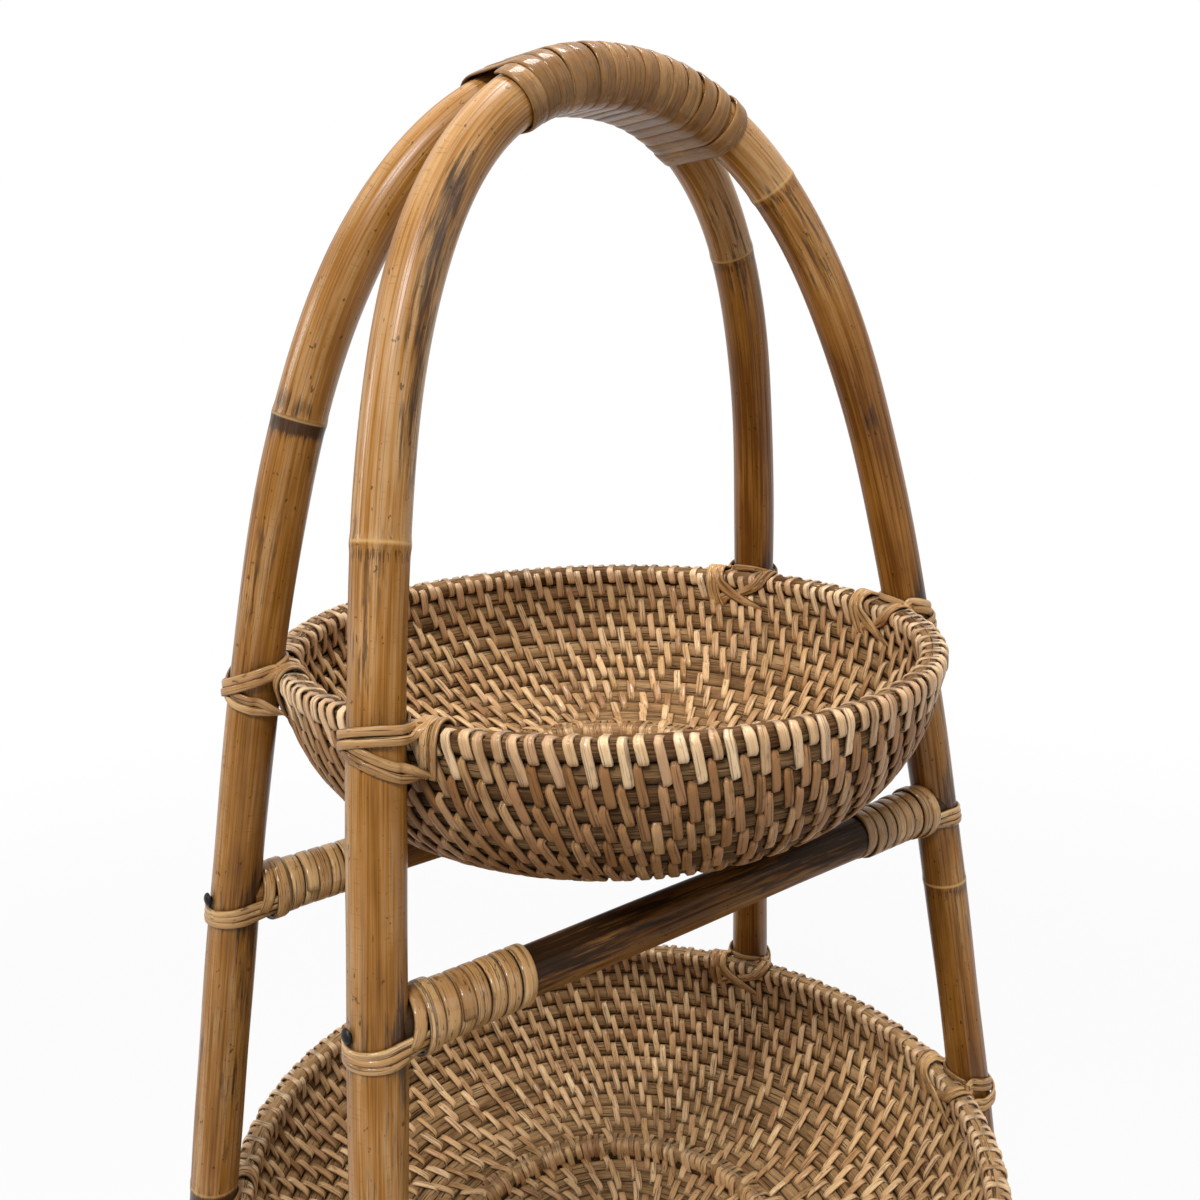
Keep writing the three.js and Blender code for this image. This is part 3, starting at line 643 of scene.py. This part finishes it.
def makeBarWrap(tier, arch, end):
    low, high = barBoxes[tier, arch]
    centre, drift = legAt((low.z + high.z) / 2, arches[arch], ends[end])
    inward, aside = np.array([-ends[end], 0.0, 0.0]), np.array([0.0, ends[end], 0.0])
    onBar = bar["radius"] + bar["waver"]
    onLeg = cane["radius"] + wrap["legWavers"] * cane["waver"]
    skin = Skin()

    def barSpot(x, turn, lift):
        normal = aside * np.cos(turn)[:, None] + worldUp * np.sin(turn)[:, None]
        return centre + inward * x[:, None] + normal * (onBar + lift)[:, None], normal

    knots = np.arange(-1, wrap["turns"] + 2)
    wander, tones = chance.normal(0, wrap["wander"], len(knots)), chance.uniform(*wrap["tones"], len(knots))

    def lay(first, last, raised, width):
        turns = np.linspace(first, last, int((last - first) * wrap["steps"]))
        x = wrap["start"] + wrap["pitch"] * turns + np.interp(turns, knots, wander)
        x = x + wrap["firstOffset"] * bell(turns, wrap["firstLength"])
        x = x - wrap["climbReach"] * np.exp(-(turns + wrap["climb"]) / wrap["climbLength"])
        turn = wrap["topTurn"] + fullTurn * turns
        bulge = wrap["bulge"] * bell(turns - wrap["bulgeTurn"], wrap["bulgeLength"])
        points, normals = barSpot(x, turn, wrap["lift"] + bulge + raised(turns))
        # painted shade: each turn is darker where it faces down
        under = wrap["underShade"] * np.clip(-np.sin(turn), 0, 1)
        width = np.interp(turns, (0.0, wrap["widening"]), (wrap["climbWidth"], width))
        tone = np.interp(turns, knots, tones)
        skin.strips(points, normals, width, wrap["thickness"], tone[None, :, None], under[None, :, None],
                    edge=wrap["edge"])

    # The last turn's end is tucked in, and a cut end lies over a turn and slips under the next.
    tuckFrom, (first, last) = wrap["turns"] - wrap["tuckTurns"], wrap["cutEnd"]
    lay(-wrap["climb"], wrap["turns"], lambda turns: -wrap["tuckDepth"] * np.clip(turns - tuckFrom, 0, 1),
        wrap["width"])
    lay(first, last, lambda turns: wrap["cutLift"] * (1 - 2 * (turns - first) / (last - first)),
        wrap["cutWidth"] * wrap["width"])
    around = np.radians(np.linspace(*wrap["strapArc"], wrap["strapStops"]))
    ring = aside * np.cos(around)[:, None] - inward * np.sin(around)[:, None]
    lift = np.full(2, wrap["strapLift"])
    for strap in range(wrap["straps"]):
        drop = wrap["strapDrop"] + strap * wrap["strapPitch"]
        drawn = wrap["strapDrop"] + strap * wrap["strapPitch"] * wrap["strapDraw"] + wrap["strapSag"]
        fall = drop + (drawn - drop) * np.clip(np.sin(around), 0, 1)
        onRing = centre - drift * fall[:, None] + ring * onLeg
        tuck = math.asin(-drop / onBar)
        near, nearNormal = barSpot(np.array(wrap["strapEnds"]), np.full(2, tuck), lift)
        far, farNormal = barSpot(np.array(wrap["strapEnds"][::-1]), np.full(2, math.pi - tuck), lift)
        points = smoothPath(np.concatenate([near, onRing, far]), wrap["strapSteps"])
        normals = unit(smoothPath(np.concatenate([nearNormal, ring, farNormal]), wrap["strapSteps"]))
        skin.strips(points, normals, wrap["strapWidth"], wrap["thickness"],
                    chance.uniform(*wrap["strapTones"]), wrap["strapStain"] * strap)
    skin.finish(f"{tier}_{arch}_{end}_bar_binding", splitPeel, "peel", f"{tier}_{arch}_{end}_bar_wrap")


for corner in corners:
    makeBarWrap(*corner)
print("bar wraps made")


# Bowls: coiled rods under slanting stitches that each take in two rows

weave = {
    "rowPitch": 0.0089, "spacing": 0.0126, "width": 0.0039, "thickness": 0.0013, "steps": 18,
    "wallThickness": 0.0075, "clearance": 0.0003, "profileSteps": 400,
    "rimRod": 0.0047, "rimWidth": 0.0041, "rimInset": 0.005, "rimCover": 0.0105,
    "hoopRod": 0.0050, "hoopWidth": 0.0039, "hoopSpacing": 0.0038, "hoopRise": 0.0008,
    "hoopRound": 6, "alone": (1, 2, 4), "down": (0, 3), "up": (5,),
    "footInset": 0.002, "eye": 0.04, "leastRows": 3, "leastStitches": 4, "relaxing": 6, "floorEvery": 3,
    "coreDepth": 0.0027, "coreLap": 0.52, "coreSteps": 132, "coreSides": 22, "strandRidge": 0.07,
    # The coils' darker outer side and the darkening in their creases are painted shade.
    "wobble": 0.0016, "wobbles": 5, "coreTones": (0.2, 0.8), "coreShadeTone": -0.35, "coreShade": 0.24,
    "outsideFrom": 0.3, "creaseShade": 0.8, "creasePower": 6, "rimShade": 0.6,
    "bare": {"rim": 0.05, "wall": 0.1, "hoop": 0.0, "foot": 0.6, "floor": 0.1},  # stain of the coils; on the foot coil it is mostly a painted shadow under the hoop
    "roundness": 0.5, "endReach": 0.92, "lift": 0.0002,
    "insideReach": 0.76, "insideFrom": 0.5, "insideRate": 2,
    "facePower": 4, "slant": 0.22, "slantSpread": 0.2, "slantRate": 2.2, "leastRadius": 0.002,
    "proudSpread": 0.0009, "widthSpread": 0.06, "endNarrowing": 0.08, "narrowPower": 3,
    # The stitches' darker outer side and darker ends are painted shade.
    "tones": (0.05, 1), "outsideShadeTone": -0.82, "outsideAbove": 0.1, "endShade": 0.6, "endShadePower": 8,
    "jitter": 0.0005, "jitterRadius": 0.01,
}
bowlPieces = {
    "rim_stitches": (rimStrand, "rim"), "rim_coils": (coilCore, "rim"),
    "wall_stitches_high": (stitchStrand, "coil"), "wall_stitches_low": (stitchStrand, "coil"),
    "wall_coils": (coilCore, "coil"),
    "base_stitches": (stitchStrand, "coil"), "base_coils": (coilCore, "coil"),
}


class Row:  # one coil of a bowl: its centre line, the way out of the wall there, and its half sizes
    def __init__(self, r, z, out, along, deep):
        self.centre, self.out, self.along, self.deep = np.array([r, z]), np.array(out), along, deep


def bowlRows(tier):
    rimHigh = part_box(f"{tier}_bowl_rim")[1]
    baseLow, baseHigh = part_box(f"{tier}_bowl_base")
    depth = rimHigh.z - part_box(f"{tier}_bowl_wall")[0].z
    wallEnd = baseHigh.y + weave["clearance"]
    across = rimHigh.y - weave["clearance"] - wallEnd
    half = weave["wallThickness"] / 2
    turn = np.linspace(math.asin(weave["rimCover"] / depth), math.pi / 2, weave["profileSteps"])
    out = unit(np.stack([depth * np.cos(turn), -across * np.sin(turn)], -1))
    middle = np.stack([wallEnd + across * np.cos(turn), rimHigh.z - depth * np.sin(turn)], -1) - out * half
    run = lengthAlong(middle)
    count = round(run[-1] / weave["rowPitch"])
    pitch = run[-1] / count
    inset, rod = weave["rimInset"], weave["rimRod"]
    rim = Row(rimHigh.y - inset, rimHigh.z - inset, (1.0, 0.0), rod, rod)
    wall = []
    for i in range(count):
        r, z, *facing = [np.interp((i + 0.5) * pitch, run, values) for values in (*middle.T, *out.T)]
        wall.append(Row(r, z, facing, pitch * weave["coreLap"], weave["coreDepth"]))
    rod = weave["hoopRod"]
    hoop = Row(baseHigh.y - rod, baseHigh.z - rod + weave["hoopRise"], (1.0, 0.0), rod, rod)
    reach = baseHigh.y - weave["footInset"]
    count = max(round(reach / weave["rowPitch"]), weave["leastRows"])
    pitch = reach / (count + weave["eye"])
    floor = [Row(reach - (i + 0.5) * pitch, baseLow.z + half, (0.0, -1.0), pitch * weave["coreLap"],
                 weave["coreDepth"]) for i in range(count)]
    return rim, wall, hoop, floor


def coilRods(skin, rows, bare, topCreaseShade=1.0, outsideShade=1.0):
    turn, section = evenTurns(weave["coreSteps"]), evenTurns(weave["coreSides"])
    c, s = np.cos(section), np.sin(section)
    ridge = 1 + weave["strandRidge"] * np.cos(section * weave["coreSides"] / 2)
    # painted shade: the coil is darker on its outer side
    shadedOutside = outsideShade * np.clip(c + weave["outsideFrom"], 0, 1)
    # painted shade in the creases between rows
    creaseShading = weave["creaseShade"] * s ** weave["creasePower"] * np.where(s < 0, topCreaseShade, 1)
    for row in rows:
        down = np.array([row.out[1], -row.out[0]])
        outline = row.centre + (row.deep * ridge * c)[:, None] * row.out
        outline = outline + (row.along * ridge * s)[:, None] * down
        wobble = 1 + weave["wobble"] * np.sin(turn * weave["wobbles"] + chance.uniform(*phaseRange))
        rings = revolved(outline[:, 0] * wobble[:, None], outline[:, 1], turn[:, None])
        grain = np.broadcast_arrays(row.deep * c, row.along * s, (turn * row.centre[0])[:, None])
        grain = np.stack(grain, -1) + chance.uniform(*grainRange, 3)
        tone = chance.uniform(*weave["coreTones"]) + weave["coreShadeTone"] * shadedOutside
        skin.sweep(rings[None], grain[None], tone, bare + weave["coreShade"] * shadedOutside + creaseShading, closed=True)


def stitches(skin, upper, lower, angles, width, outsideShadeTone=0.0):
    u = evenTurns(weave["steps"])
    c, s = np.cos(u), np.sin(u)
    gap = lower.centre - upper.centre
    span = np.linalg.norm(gap)
    along = gap / span if span > tiny else np.array([0.0, -1.0])
    out = np.array([-along[1], along[0]])
    out = out if out @ (upper.out + lower.out) > 0 else -out
    down, lift = (np.sign(share) * np.abs(share) ** weave["roundness"] for share in (c, s))
    travel = (span / 2 + np.where(down > 0, lower.along, upper.along) * weave["endReach"]) * down
    inside = np.clip(weave["insideFrom"] - weave["insideRate"] * s, 0, 1)
    travel = travel * (1 - (1 - weave["insideReach"]) * inside)
    deep = np.interp(travel, [-span / 2 - tiny, span / 2 + tiny], [upper.deep, lower.deep]) + weave["lift"]
    spot = (upper.centre + lower.centre) / 2 + travel[:, None] * along + (deep * lift)[:, None] * out
    face = unit((np.sign(c) * np.abs(c) ** weave["facePower"])[:, None] * along + s[:, None] * out)
    count = len(angles)
    slant = weave["slant"] * chance.normal(1, weave["slantSpread"], count)[:, None]
    shift = slant * travel * np.clip(weave["slantRate"] * s, -1, 1)
    r = np.maximum(spot[:, 0], weave["leastRadius"])
    turn = angles[:, None] + shift / r
    proud = 1 + chance.normal(0, weave["proudSpread"], count)[:, None]
    points, normals = revolved(r * proud, spot[:, 1], turn), revolved(*face.T, turn)
    wide = width * chance.normal(1, weave["widthSpread"], count)[:, None]
    wide = wide * (1 - weave["endNarrowing"] * np.abs(c) ** weave["narrowPower"])
    # painted shade: wall and floor stitches are darker on their outer side
    tone = chance.uniform(*weave["tones"], count)[:, None] + outsideShadeTone * (s > weave["outsideAbove"])
    # painted shade: stitches darken towards the ends that tuck between rows
    tuckShade = np.broadcast_to(weave["endShade"] * np.abs(c) ** weave["endShadePower"], tone.shape)
    skin.strips(points, normals, wide, weave["thickness"], tone[..., None], tuckShade[..., None], closed=True)


def nextAngles(angles, radius):  # half way between the stitches above, leaving some out as the bowl narrows
    middles = angles + np.diff(np.append(angles, angles[0] + fullTurn)) / 2
    spare = len(middles) - max(round(fullTurn * radius / weave["spacing"]), weave["leastStitches"])
    if spare > 0:
        dropped = (np.arange(spare) + chance.uniform()) * len(middles) / spare
        middles = np.delete(middles, dropped.astype(int))
        for _ in range(weave["relaxing"]):  # the others close up
            beside = np.concatenate([middles[-1:] - fullTurn, middles, middles[:1] + fullTurn])
            middles = middles / 2 + (beside[:-2] + beside[2:]) / 4
    return middles


def jittered(angles, radius):
    return angles + chance.normal(0, weave["jitter"], len(angles)) / max(radius, weave["jitterRadius"])


def makeBowl(tier):
    rim, wall, hoop, floor = bowlRows(tier)
    skins, bare = {piece: Skin() for piece in bowlPieces}, weave["bare"]
    coilRods(skins["rim_coils"], [rim], bare["rim"], 0.0, weave["rimShade"])
    coilRods(skins["wall_coils"], wall, bare["wall"])
    coilRods(skins["base_coils"], [hoop], bare["hoop"], 0.0)
    # painted shadow on the foot coil, under the hoop's inner side
    coilRods(skins["base_coils"], floor[:1], bare["foot"])
    coilRods(skins["base_coils"], floor[1:], bare["floor"])
    radius = rim.centre[0]
    count = round(fullTurn * radius / weave["spacing"])
    angles = np.arange(count) * fullTurn / count
    stitches(skins["rim_stitches"], rim, wall[0], jittered(angles, radius), weave["rimWidth"])
    stitches(skins["rim_stitches"], rim, rim, jittered(angles + math.pi / count, radius), weave["rimWidth"])

    def stitchRows(rows, angles, pieceAt):
        for i, (upper, lower) in enumerate(zip(rows, rows[1:])):
            radius = (upper.centre[0] + lower.centre[0]) / 2
            angles = nextAngles(angles, radius)
            stitches(skins[pieceAt(i)], upper, lower, jittered(angles, radius), weave["width"],
                     weave["outsideShadeTone"])

    stitchRows(wall, angles, lambda i: f"wall_stitches_{'high' if i < len(wall) // 2 - 1 else 'low'}")
    foot = Row(*floor[0].centre, (1.0, 0.0), floor[0].deep, floor[0].along)
    # The hoop's stitches come in rounds: round it alone, down to the floor and up to the wall.
    each = weave["hoopRound"]
    count = round(fullTurn * hoop.centre[0] / weave["hoopSpacing"] / each) * each
    angles = np.arange(count) * fullTurn / count
    for upper, lower, turns in ((hoop, hoop, "alone"), (hoop, foot, "down"), (wall[-1], hoop, "up")):
        taken = jittered(angles[np.isin(np.arange(count) % each, weave[turns])], hoop.centre[0])
        stitches(skins["base_stitches"], upper, lower, taken, weave["hoopWidth"])
    stitchRows(floor, angles[::weave["floorEvery"]], lambda i: "base_stitches")
    for piece, (material, slot) in bowlPieces.items():
        skins[piece].finish(f"{tier}_{piece}", material, slot, f"{tier}_bowl_{piece.split('_')[0]}")
    return {"rim": rim, "first": wall[0]}


upperCoils = {tier: makeBowl(tier) for tier in tiers}
print("bowls made")


# Lashings: pairs of strands crossed over each leg, over the rim and through the wall, and a collar inside
# A stop is the thing that the strand lies on, an angle round it in degrees from its outer face,
# and an offset in millimetres: the height on a leg, and the distance to the right of the leg on a coil.

tie = {
    "width": 0.0037, "thickness": 0.0013, "pair": 3.9, "steps": 120, "onLeg": 0.0005, "onCoil": 0.0013,
    "coilLift": 0.4, "widths": (0.94, 1.06), "tones": (0.2, 0.95), "stains": (0, 0.12),
    "crossings": {  # degrees round the leg, height
        "early": {
            "rising": [(-112, -6), (-80, -1.8), (-40, 2), (0, 5), (40, 6.1), (80, 5), (108, 4.2)],
            "falling": [(-108, 2), (-80, -0.4), (-40, 0), (0, -1), (40, -4.4), (75, -8), (100, -10)],
        },
        "midway": {
            "rising": [(-112, -8), (-80, -7), (-40, -5.4), (0, -4), (40, -0.8), (80, 2.2), (108, 4)],
            "falling": [(-108, 4.8), (-80, 4), (-40, 0.8), (0, -4), (40, -7), (75, -9.5), (100, -11)],
        },
    },
    "rising": [("rim", 55, 13.5), ("rim", 95, 14.5), ("rim", 140, 14), ("rim", 185, 12), ("first", 180, 3),
               ("first", 225, -9), ("first", 270, -13), ("first", 320, -14)],
    "falling": [("first", 315, 14.5), ("first", 255, 14), ("first", 190, 10), ("first", 160, 0),
                ("rim", 190, -10), ("rim", 140, -14.5), ("rim", 95, -16), ("rim", 50, -15)],
    "hanging": [("rim", 0, 18), ("rim", 60, 17.5), ("rim", 110, 17), ("rim", 180, 16.5),
                ("first", 180, 16), ("first", 250, 14), ("first", 300, 13), ("first", 340, 15)],
    "collar": [("first", 0, -16.5), ("rim", 0, -17), ("rim", 55, -16.5), ("leg", -125, 5), ("leg", -150, 6.8),
               ("leg", 180, 7.4), ("leg", 150, 6.8), ("leg", 125, 5), ("rim", 55, 16), ("rim", 0, 16.5),
               ("first", 0, 16)],
}


def makeLashing(tier, arch, end):
    coils = upperCoils[tier]
    centre, drift = legAt(coils["rim"].centre[1], arches[arch], ends[end])
    outward = unit(np.array([centre[0], centre[1], 0.0]))
    aside = np.cross(worldUp, outward)
    bearing = math.atan2(centre[1], centre[0])
    crossing = tie["crossings"]["early" if arches[arch] == ends[end] else "midway"]
    skin = Skin()

    def spot(place, degrees, offset, lift):
        turn, offset = math.radians(degrees), offset / 1000
        if place == "leg":
            normal = outward * math.cos(turn) + aside * math.sin(turn)
            return centre + drift * offset + normal * (cane["radius"] + tie["onLeg"] + lift), normal
        coil = coils[place]
        rise = np.array([-coil.out[1], coil.out[0]])
        normal = coil.out * math.cos(turn) + rise * math.sin(turn)
        face = coil.centre + coil.out * coil.deep * math.cos(turn) + rise * coil.along * math.sin(turn)
        r, z = face + normal * (tie["onCoil"] + lift * tie["coilLift"])
        angle = bearing + offset / r
        radial = np.array([math.cos(angle), math.sin(angle), 0.0])
        return radial * r + worldUp * z, radial * normal[0] + worldUp * normal[1]

    def lay(route, lift, apart, coilWay, closed=True):
        onLeg = [("leg", *stop) for stop in crossing.get(route, [])]
        stops = [spot(place, degrees, offset + (apart if place == "leg" else apart * coilWay), lift)
                 for place, degrees, offset in onLeg + tie[route]]
        points = smoothPath([point for point, _ in stops], tie["steps"], closed)
        normals = unit(smoothPath([normal for _, normal in stops], tie["steps"], closed))
        skin.strips(points, normals, tie["width"] * chance.uniform(*tie["widths"]), tie["thickness"],
                    chance.uniform(*tie["tones"]), chance.uniform(*tie["stains"]), closed)

    for apart in (-tie["pair"] / 2, tie["pair"] / 2):
        lay("rising", tie["thickness"], apart, -1)
        lay("falling", 0.0, apart, 1)
        lay("hanging", tie["thickness"], apart, 1)
    lay("collar", 0.0, 0.0, 1, False)
    skin.finish(f"{tier}_{arch}_{end}_tie", tieStrand, "peel", f"{tier}_{arch}_{end}_lashing")


for corner in corners:
    makeLashing(*corner)
print("lashings made")


# Floor, light and camera

studio = {"floorSize": 60.0, "floorColor": (0.62, 0.62, 0.615), "floorRoughness": 0.9, "ownWhite": 0.86,
          "whiteFrom": 0.7, "whiteBy": 2.2, "ambient": 0.31, "aim": (0, 0, 0.62),
          "lamps": [  # place, watts, size
              ("keyLamp", (-1.20, -1.00, 2.40), 45, 0.6),
              ("topLamp", (0.40, 0.25, 2.95), 50, 0.8),
              ("fillLamp", (0.9, -1.7, 1.9), 7, 1.4),
              ("sideLamp", (-1.50, 0.85, 1.40), 9, 0.4),
          ]}


def seenRays(tree):  # 1 for rays that show a surface, 0 for those that light others
    seen = Socket(tree).node("LightPath", out="Is Camera Ray")
    rays = seen.socket.node.outputs
    for kind in ("Is Glossy Ray", "Is Transmission Ray"):
        seen = seen.maths("MAXIMUM", seen, Socket(tree, rays[kind]))
    return seen


def makeFloor():
    mesh = bpy.data.meshes.new("floor")
    half = studio["floorSize"] / 2
    square = [(-half, -half, 0), (half, -half, 0), (half, half, 0), (-half, half, 0)]
    mesh.from_pydata(square, [], [(0, 1, 2, 3)])
    floor = placed("floor", mesh)
    paper = Finish("paleFloor", Base_Color=rgb(*studio["floorColor"]), Roughness=studio["floorRoughness"])
    start = paper.start
    glow = start.node("Emission", {}, {"Color": rgb(1, 1, 1), "Strength": 1.0})
    place = start.node("NewGeometry", out="Position")
    away = start.node("VectorMath", {"operation": "LENGTH"}, {0: place}, "Value")
    white = away.above(studio["whiteFrom"], studio["whiteBy"]) * (1 - studio["ownWhite"]) + studio["ownWhite"]
    both = start.node("MixShader", {}, {
        "Fac": seenRays(paper.tree) * white, 1: Socket(paper.tree, paper.shader.outputs[0]), 2: glow})
    paper.tree.links.new(both.socket, paper.tree.nodes["Material Output"].inputs["Surface"])
    mesh.materials.append(paper.material)


def makeLight():
    world = bpy.data.worlds.new("studioWorld")
    world.use_nodes = True
    tree = world.node_tree
    background = tree.nodes["Background"]
    background.inputs["Color"].default_value = rgb(1, 1, 1)
    strength = seenRays(tree) * (1 - studio["ambient"]) + studio["ambient"]
    tree.links.new(strength.socket, background.inputs["Strength"])
    bpy.context.scene.world = world
    for name, place, watts, size in studio["lamps"]:
        lamp = bpy.data.lights.new(name, "AREA")
        lamp.energy, lamp.size = watts, size
        holder = placed(name, lamp)
        holder.location = place
        holder.rotation_euler = (Vector(studio["aim"]) - Vector(place)).to_track_quat("-Z", "Y").to_euler()
    bpy.context.scene.view_settings.view_transform = "Standard"


shot = {"azimuth": -38.38, "distance": 0.5431, "height": 0.8545, "turn": 0.43, "pitch": -13.2, "roll": -1.0,
        "focal": 1192.5, "frame": 1200, "sensor": 36}


def makeCamera():
    azimuth, pitch, roll = (math.radians(shot[key]) for key in ("azimuth", "pitch", "roll"))
    yaw = azimuth + math.radians(shot["turn"])
    forward = Vector((-math.sin(yaw) * math.cos(pitch), math.cos(yaw) * math.cos(pitch), math.sin(pitch)))
    right = Vector((math.cos(yaw), math.sin(yaw), 0))
    up = right.cross(forward)
    rolled = right * math.cos(roll) + up * math.sin(roll), up * math.cos(roll) - right * math.sin(roll)
    camera = placed("camera", bpy.data.cameras.new("camera"))
    camera.data.sensor_width = shot["sensor"]
    camera.data.lens = shot["sensor"] * shot["focal"] / shot["frame"]
    turned = Matrix((*rolled, -forward)).transposed().to_4x4()
    away = shot["distance"]
    place = Vector((math.sin(azimuth) * away, -math.cos(azimuth) * away, shot["height"]))
    camera.matrix_world = Matrix.Translation(place) @ turned
    bpy.context.scene.camera = camera


makeFloor()
makeLight()
makeCamera()
print("studio made")
